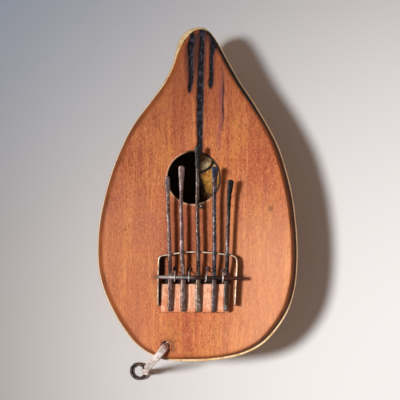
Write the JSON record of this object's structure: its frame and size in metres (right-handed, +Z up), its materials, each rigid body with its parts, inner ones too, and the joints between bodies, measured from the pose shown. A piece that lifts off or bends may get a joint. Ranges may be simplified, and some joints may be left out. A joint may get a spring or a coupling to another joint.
{
  "type": "gourd thumb piano",
  "caption": "Thumb piano on half a bottle gourd, with a flat soundboard and sound hole, forged iron tongues on a strip bridge under a tied bar, and a rawhide thong with a ring.",
  "frame": {"origin": "under the middle of the body (gourd, board and fittings, without the hanging thong), on the surface that it lies on", "axes": "+Z up, out of the soundboard; +Y along the body towards the neck; +X to the right as seen from above with the neck away"},
  "size_m": [0.1712, 0.3096, 0.0745],
  "materials": {
    "gourd": "dry, slightly polished gourd skin",
    "board": "oiled red-brown softwood with a dark stained edge",
    "backrest": "raw pale wood",
    "forged_iron": "hammered and handled dark iron",
    "bar_iron": "blackened iron, rusty at the ends",
    "strip_steel": "dark steel with a bright worn edge",
    "tie_steel": "soft bright wire",
    "tack_steel": "polished by wear",
    "rawhide": "stiff dry rawhide",
    "ring_iron": "dark rusted iron"
  },
  "bodies": {
    "instrument": {"gourd_shell": "gourd", "soundboard": "board", "backrest": "backrest", "bridge_hoop": "strip_steel", "pressure_bar": "bar_iron", "tie_wire_1": "tie_steel", "tie_wire_2": "tie_steel", "tie_wire_3": "tie_steel", "tie_wire_4": "tie_steel", "hole_tack": "tack_steel", "thong_knot": "rawhide", "thong": "rawhide", "thong_loop": "rawhide", "thong_ring": "ring_iron"},
    "tail_1": {"tongue_1_tail": "forged_iron"},
    "blade_1": {"tongue_1_blade": "forged_iron"},
    "tail_2": {"tongue_2_tail": "forged_iron"},
    "blade_2": {"tongue_2_blade": "forged_iron"},
    "tail_3": {"tongue_3_tail": "forged_iron"},
    "blade_3": {"tongue_3_blade": "forged_iron"},
    "tail_4": {"tongue_4_tail": "forged_iron"},
    "blade_4": {"tongue_4_blade": "forged_iron"},
    "tail_5": {"tongue_5_tail": "forged_iron"},
    "blade_5": {"tongue_5_blade": "forged_iron"}
  },
  "joints": [
    {"name": "tune_1", "type": "slide", "parent": "instrument", "child": "tail_1", "axis": [0, 1, 0], "range_m": [-0.0025, 0.0025]},
    {"name": "tune_2", "type": "slide", "parent": "instrument", "child": "tail_2", "axis": [0, 1, 0], "range_m": [-0.0025, 0.0025]},
    {"name": "tune_3", "type": "slide", "parent": "instrument", "child": "tail_3", "axis": [0, 1, 0], "range_m": [-0.0025, 0.0025]},
    {"name": "tune_4", "type": "slide", "parent": "instrument", "child": "tail_4", "axis": [0, 1, 0], "range_m": [-0.0025, 0.0025]},
    {"name": "tune_5", "type": "slide", "parent": "instrument", "child": "tail_5", "axis": [0, 1, 0], "range_m": [-0.0025, 0.0025]},
    {"name": "pluck_1", "type": "hinge", "parent": "tail_1", "child": "blade_1", "pos_m": [-0.0233, -0.051, 0.07035], "axis": [1, 0, 0], "range_deg": [-2.5, 1.5], "stiffness_Nm_per_rad": 2},
    {"name": "pluck_2", "type": "hinge", "parent": "tail_2", "child": "blade_2", "pos_m": [-0.0129, -0.0494, 0.07035], "axis": [1, 0, 0], "range_deg": [-2.5, 1.5], "stiffness_Nm_per_rad": 2},
    {"name": "pluck_3", "type": "hinge", "parent": "tail_3", "child": "blade_3", "pos_m": [0.0009, -0.049, 0.07035], "axis": [1, 0, 0], "range_deg": [-2.5, 1.5], "stiffness_Nm_per_rad": 2},
    {"name": "pluck_4", "type": "hinge", "parent": "tail_4", "child": "blade_4", "pos_m": [0.0145, -0.0499, 0.07035], "axis": [1, 0, 0], "range_deg": [-2.5, 1.5], "stiffness_Nm_per_rad": 2},
    {"name": "pluck_5", "type": "hinge", "parent": "tail_5", "child": "blade_5", "pos_m": [0.0251, -0.0512, 0.07035], "axis": [1, 0, 0], "range_deg": [-2.5, 1.5], "stiffness_Nm_per_rad": 2}
  ]
}
